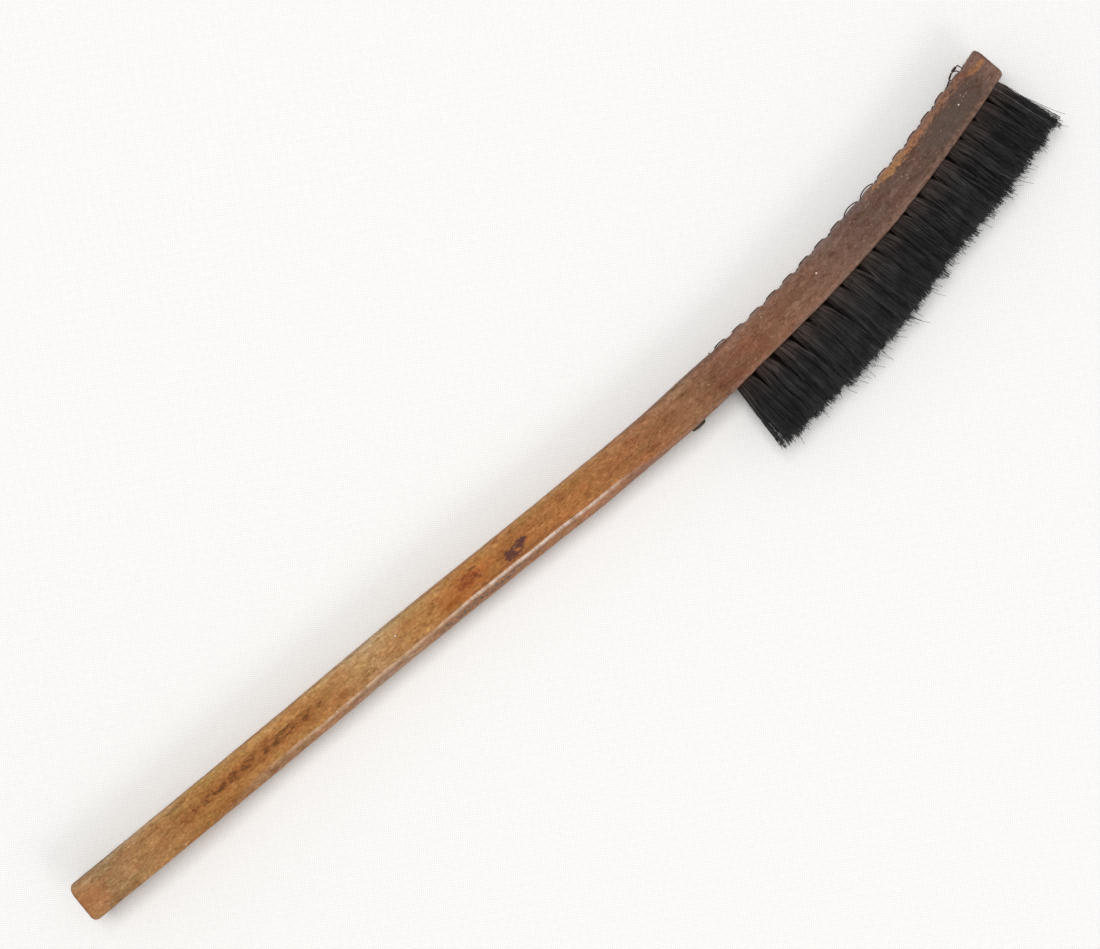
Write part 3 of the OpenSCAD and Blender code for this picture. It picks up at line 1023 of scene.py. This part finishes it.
def head_stains(wood, mottle):
    """Finish rubbed off along the back of the head and at its tip, and a sooty patch."""
    wood.mark(0.45, "51483f", (120.5, 1.0), (11.0, 3.6))
    height = wood.plus(wood.spot[2], wood.times(wood.ragged, 1.6))
    near_top = wood.fade(height, THICKNESS / MM - 5.5, THICKNESS / MM - 2.5)
    lighter_mask = wood.times(wood.fade(mottle, 0.4, 0.58, 0.2, 1.0), near_top)
    wood.mark(0.75, "9c6c50", (114.0, -3.9), (21.5, 1.6), 0.015, where=lighter_mask)
    wood.mark(0.9, "a5774a", (102.3, -3.7), (6.6, 1.4), 0.03, where=lighter_mask)
    wood.mark(0.6, "a87044", (111.5, -3.4), (4.5, 0.8), 0.02, where=lighter_mask)
    wood.mark(0.45, "7c4f3a", (134.5, -2.9), (5.0, 1.8))
    wood.mark(0.85, "a06d43", (136.3, -1.2), (3.4, 0.9), 0.2, where=lighter_mask)


PALE_CHIPS = ((-77.6, -2.4), (68.3, -0.9), (126.0, 0.6))


def wood_wear(wood, mottle):
    """Greyer chamfers with a painted crease highlight, dusty bristle side, rims darkened by dirt and
    painted shade, pale specks.
    """
    # The chamfers are tinted greyer and bluer.
    facet = wood.times(wood.attribute("facet", "Fac"), wood.along(-150, -122))
    wood.tint(facet, 0.87, 0.96, 1.5)
    wood.tint(wood.times(facet, wood.along(-38, -20), wood.along(2, -12)), 1.12, 1.18, 1.16)
    wood.mark(0.75, "5c4f4f", (-50.0, 4.3), (19.0, 1.0), where=wood.fade(mottle, 0.6, 0.4))
    # Darker rims along the back edge and round both ends: partly dirt, partly painted shade where the
    # rounded edges turn away from the light.
    ends = wood.math("MAXIMUM", wood.along(-184.9, -186.0), wood.along(138.9, 140.2))
    wood.tint(wood.math("MAXIMUM", wood.across(-5.2, -5.7), ends), 0.76, 0.74, 0.76)
    dusty = wood.times(wood.across(3.6, 5.4), wood.along(-30, 20))
    wood.lay(dusty, wood.fade(mottle, 0.38, 0.62, 0.1, 0.65), "8a6a58")
    # A painted highlight along the crease where each side face meets its grip chamfer, broken into dashes
    # and whiter towards the head.
    crease = wood.attribute("crease", "Fac")
    broken = wood.streaks(wood.grain, 0.5, 0.2, detail=4, roughness=0.7)
    lighter_mask = wood.times(
        wood.fade(crease, -0.4, -0.05), wood.fade(crease, 1.0, 0.1),
        wood.fade(broken, 0.36, 0.6, 0.3, 1.0), wood.along(-136, -106), wood.along(6, -24)
    )
    pale = wood.mix(wood.along(-70, -50), colour("c5a486"), colour("dcc9bc"))
    wood.tone = wood.mix(wood.times(lighter_mask, 0.9), wood.tone, pale)
    swirl = wood.stretched(wood.noise_colour(wood.grain, 2.2), (0.8, 0.8, 0.8))
    specks = wood.fade(wood.cells(wood.moved(wood.grain, swirl), 0.15), 0.045, 0.022)
    wood.lay(specks, 0.75, "ecdcc6")
    crisp = wood.times(wood.ragged, 0.4)
    for centre in PALE_CHIPS:
        wood.mark(0.8, "f0e4dc", centre, (0.28, 0.22), ragged=crisp)
    dust = wood.fade(wood.noise(wood.grain, scale=1.7, detail=1), 0.7, 0.76)
    wood.lay(wood.times(dust, wood.along(-25, 12, 0.1, 1.0)), 0.45, "c09a80")


def wood_material():
    wood = WoodShader("worn_wood")
    cloudy, fibre, mottle = wood_body(wood)
    pores = wood.streaks(wood.slanted, 0.6, 4.0, detail=2)
    pore = wood.fade(pores, 0.64, 0.73)
    wood.lay(pore, 0.45, "4c2b12")
    grip_stains(wood)
    head_stains(wood, mottle)
    wood_wear(wood, mottle)
    dents = wood.streaks(wood.grain, 0.35, 0.8, detail=3)
    height = wood.plus(wood.times(fibre, 0.6), wood.times(dents, 1.2))
    height = wood.plus(height, wood.times(mottle, 0.7))
    height = wood.minus(height, wood.times(pore, 0.9))
    rough = wood.fade(cloudy, 0.3, 0.7, 0.42, 0.58)
    rough = wood.minus(rough, wood.times(wood.attribute("edge", "Fac"), 0.1))
    return wood.finish(
        Base_Color=wood.tone, Roughness=rough, Normal=wood.bump(height, 0.09 * MM, 0.9),
        Specular_IOR_Level=0.3
    )


def hair_material():
    """Black hair, slightly brown and lighter towards the roots, with a few grey ones among it."""
    shader = Shader("black_hair")
    tone = shader.attribute("tone", "Fac")
    along = shader.attribute("along", "Fac")
    root = shader.mix(shader.fade(tone, 0.1, 0.9), colour("231b18"), colour("66564f"))
    tip = shader.mix(shader.fade(tone, 0.15, 0.85), colour("0b0b0c"), colour("474545"))
    base = shader.mix(shader.fade(along, -0.05, 0.47), root, tip)
    pale = shader.times(shader.fade(tone, 0.88, 0.91), 0.35)
    base = shader.mix(pale, base, colour("7c7876"))
    patches = shader.noise(shader.object_place(), scale=260, detail=2)
    dull = shader.times(shader.fade(patches, 0.35, 0.7), 0.45)
    base = shader.mix(dull, base, colour("17171b"))
    rough = shader.fade(patches, 0.3, 0.7, 0.34, 0.46)
    return shader.finish(Base_Color=base, Roughness=rough, Specular_IOR_Level=0.4)


def wire_material():
    shader = Shader("tarnished_wire")
    spot = shader.object_place()
    blotch = shader.noise(spot, scale=900, detail=3, roughness=0.6)
    base = shader.mix(shader.fade(blotch, 0.35, 0.7), colour("443e39"), colour("6e5240"))
    fine = shader.noise(spot, scale=4200, detail=2)
    return shader.finish(
        Base_Color=base, Metallic=0.7, Roughness=shader.fade(blotch, 0.3, 0.7, 0.42, 0.68),
        Normal=shader.bump(fine, 0.02 * MM, 0.5)
    )


def pin_material():
    shader = Shader("dark_iron")
    spot = shader.object_place()
    blotch = shader.noise(spot, scale=700, detail=4, roughness=0.6)
    base = shader.mix(shader.fade(blotch, 0.4, 0.7), colour("4a4643"), colour("5c463a"))
    return shader.finish(
        Base_Color=base, Metallic=0.6, Roughness=shader.fade(blotch, 0.3, 0.7, 0.45, 0.7),
        Normal=shader.bump(blotch, 0.08 * MM, 0.6)
    )


BACKDROP = (0.92, 0.91, 0.895, 1.0)


def cloth_material():
    """Pale plain-woven cotton with painted shade in its weave and a painted glow far from the lamps, where
    it runs into the pale backdrop.
    """
    shader = Shader("pale_cloth")
    spot = shader.object_place()
    wander = shader.noise(spot, scale=30, detail=3)
    wander = shader.times(wander, 2.2)
    x, y, _ = shader.split(spot)
    thread = 2 * math.pi / (0.74 * MM)
    warp = shader.math("SINE", shader.plus(shader.times(x, thread), wander))
    weft = shader.math("SINE", shader.plus(shader.times(y, thread), wander))
    weave = shader.times(warp, weft)
    fuzz = shader.noise(spot, scale=900, detail=3, roughness=0.7)
    height = shader.plus(weave, fuzz)
    # The weave is painted lighter where it stands high and darker in its hollows: painted shade.
    tone = shader.mix(shader.fade(weave, -1, 1), colour("e9e8e7"), colour("f9f9f8"))
    tone = shader.mix(shader.fade(fuzz, 0.3, 0.7, 0, 0.3), tone, colour("e9e7e5"))
    # The cloth glows more and more away from the brush: painted light standing in for the lamps' light
    # where it falls off.
    away = shader.node("VectorMath", {0: spot}, operation="LENGTH").outputs["Value"]
    return shader.finish(
        Base_Color=tone, Roughness=0.95, Specular_IOR_Level=0.1,
        Normal=shader.bump(height, 0.06 * MM, 0.6),
        Emission_Color=BACKDROP, Emission_Strength=shader.fade(away, 0.2, 2.2, 0.0, 0.5)
    )


# ---- stage, light and camera ----


FLOOR_HALF = 8.0
RUMPLED_HALF = 0.32


def build_floor(material):
    """A wide pale cloth, finely divided and very slightly rumpled near the brush, flat far away."""
    near = np.linspace(-RUMPLED_HALF, RUMPLED_HALF, 65)
    edge = np.concatenate([[-FLOOR_HALF], near, [FLOOR_HALF]])
    x, y = np.meshgrid(edge, edge)
    lift = 0.4 * MM * lumps(np.stack([x, y, 0 * x], axis=-1).reshape(-1, 3), 0.09, 9)
    z = -np.abs(lift).reshape(x.shape) - 0.02 * MM
    verts = np.stack([x, y, z], axis=-1).reshape(-1, 3)
    n = len(edge)
    k = (np.arange(n - 1)[:, None] * n + np.arange(n - 1)).ravel()
    faces = np.stack([k, k + 1, k + n + 1, k + n], axis=-1).tolist()
    floor = new_object("cloth_floor", verts, faces, material)
    shade_smooth(floor)


def area_light(name, centre, size, power, tint):
    """A soft lamp aimed at the frame's origin. The camera doesn't see it."""
    data = bpy.data.lights.new(name, "AREA")
    data.shape = "RECTANGLE"
    data.size, data.size_y = size
    data.energy = power
    data.color = tint
    light = bpy.data.objects.new(name, data)
    light.location = centre
    light.rotation_euler = (-Vector(centre)).to_track_quat("-Z", "Y").to_euler()
    light.visible_camera = False
    bpy.context.scene.collection.objects.link(light)
    return light


def build_world():
    """Even soft light from all round; the camera sees the same pale tone as the cloth behind it."""
    world = bpy.data.worlds.new("soft_room")
    world.use_nodes = True
    tree = world.node_tree
    background = next(n for n in tree.nodes if n.type == "BACKGROUND")
    output = next(n for n in tree.nodes if n.type == "OUTPUT_WORLD")
    background.inputs["Color"].default_value = (1.0, 0.995, 0.988, 1.0)
    background.inputs["Strength"].default_value = 0.5
    backdrop = tree.nodes.new("ShaderNodeBackground")
    backdrop.inputs["Color"].default_value = BACKDROP
    seen = tree.nodes.new("ShaderNodeLightPath")
    choose = tree.nodes.new("ShaderNodeMixShader")
    tree.links.new(seen.outputs["Is Camera Ray"], choose.inputs[0])
    tree.links.new(background.outputs[0], choose.inputs[1])
    tree.links.new(backdrop.outputs[0], choose.inputs[2])
    tree.links.new(choose.outputs[0], output.inputs["Surface"])
    bpy.context.scene.world = world


def build_light():
    build_world()
    overhead = area_light("overhead", (-0.05, 0.34, 1.58), (0.8, 0.8), 15.2, (1, 0.998, 0.994))
    overhead.visible_glossy = False
    area_light("window", (0.1, -0.95, 0.85), (0.45, 0.4), 2.7, (1.0, 0.995, 0.988))


CAMERA_SHIFT = (2.2 * MM, 8.75 * MM)
CAMERA_HEIGHT = 605 * MM
CAMERA_TURN = math.radians(-39.4)


def build_camera():
    """Straight above, a little off the middle, turned so that the brush runs up to the right."""
    low, high = (np.array(c) for c in CAD_BOX)
    centre = (low + high) / 2
    data = bpy.data.cameras.new("camera")
    data.sensor_width = 36
    data.lens = 74.05
    camera = bpy.data.objects.new("camera", data)
    camera.location = (centre[0] + CAMERA_SHIFT[0], centre[1] + CAMERA_SHIFT[1], CAMERA_HEIGHT)
    camera.rotation_euler = (0, 0, CAMERA_TURN)
    bpy.context.scene.collection.objects.link(camera)
    bpy.context.scene.camera = camera
    bpy.context.scene.view_settings.view_transform = "Standard"


build_stock(wood_material())
HAIR = hair_material()
for tuft_row, tuft_number in all_tufts():
    build_tuft(tuft_row, tuft_number, HAIR)
WIRE = wire_material()
for wire_row in (UPPER, LOWER):
    build_wire(wire_row, WIRE)
build_pin(pin_material())
build_floor(cloth_material())
build_light()
build_camera()
